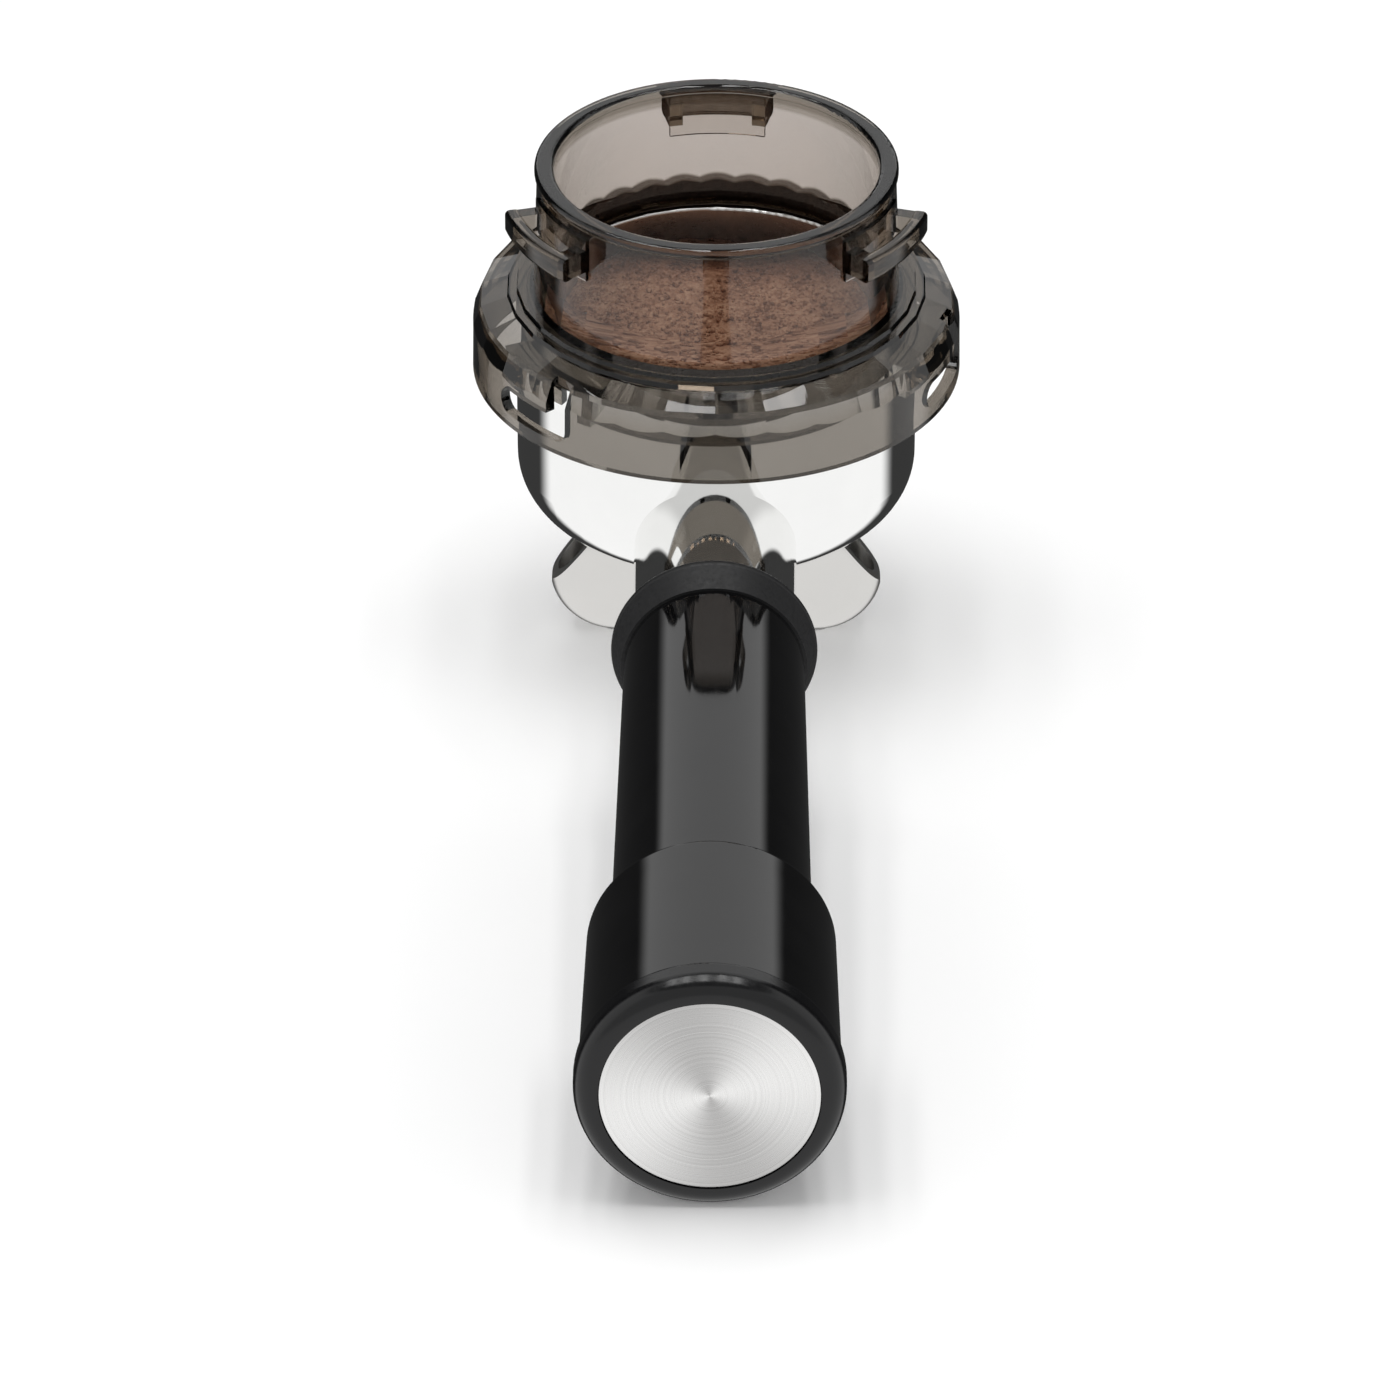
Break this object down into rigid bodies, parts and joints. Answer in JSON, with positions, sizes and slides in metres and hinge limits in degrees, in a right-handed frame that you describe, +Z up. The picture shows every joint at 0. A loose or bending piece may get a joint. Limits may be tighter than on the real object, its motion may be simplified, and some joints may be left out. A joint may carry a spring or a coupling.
{
  "type": "portafilter",
  "caption": "Espresso portafilter with a chromed bayonet head, filter basket, twin pouring spout, black grip with a steel end disc, and a clear smoke dosing funnel on top.",
  "frame": {"origin": "on the basket's axis, level with the top of the basket's rim", "axes": "+Z up along the basket's axis, out of its mouth; -Y along the handle, towards its end disc; +X to the right of someone who holds the handle and looks at the head"},
  "size_m": [0.078, 0.2216, 0.0853],
  "materials": {
    "chrome": "polished",
    "satin_chrome": "satin",
    "sheet_steel": "satin",
    "zinc_steel": "zinc plated",
    "spun_steel": "spun brushed",
    "gloss_black": "gloss",
    "satin_black": "satin",
    "collar_black": "matte",
    "nylon": "matte",
    "seal_rubber": "matte",
    "foam_pad": "matte",
    "smoke_clear": "clear, polished",
    "coffee": "dry grounds"
  },
  "bodies": {
    "head_and_handle": {"head": "chrome", "chamber_insert": "nylon", "basket_spring": "zinc_steel", "spout_gasket": "seal_rubber", "spout": "satin_chrome", "neck_ferrule": "chrome", "turn_pins": "zinc_steel", "collar": "collar_black", "neck_seal": "seal_rubber", "handle_core": "nylon", "grip_front": "gloss_black", "grip_rear": "gloss_black", "bolt_washer": "zinc_steel", "lock_washer": "zinc_steel", "handle_bolt": "zinc_steel", "end_ring": "satin_black", "disc_pad": "foam_pad", "end_disc": "spun_steel"},
    "basket": {"filter_basket": "sheet_steel"},
    "funnel": {"dosing_funnel": "smoke_clear"}
  },
  "joints": [
    {"name": "basket_lift", "type": "slide", "parent": "head_and_handle", "child": "basket", "axis": [0, 0, 1], "range_m": [0, 0.034]},
    {"name": "funnel_lift", "type": "slide", "parent": "basket", "child": "funnel", "axis": [0, 0, 1], "range_m": [0, 0.05]}
  ]
}
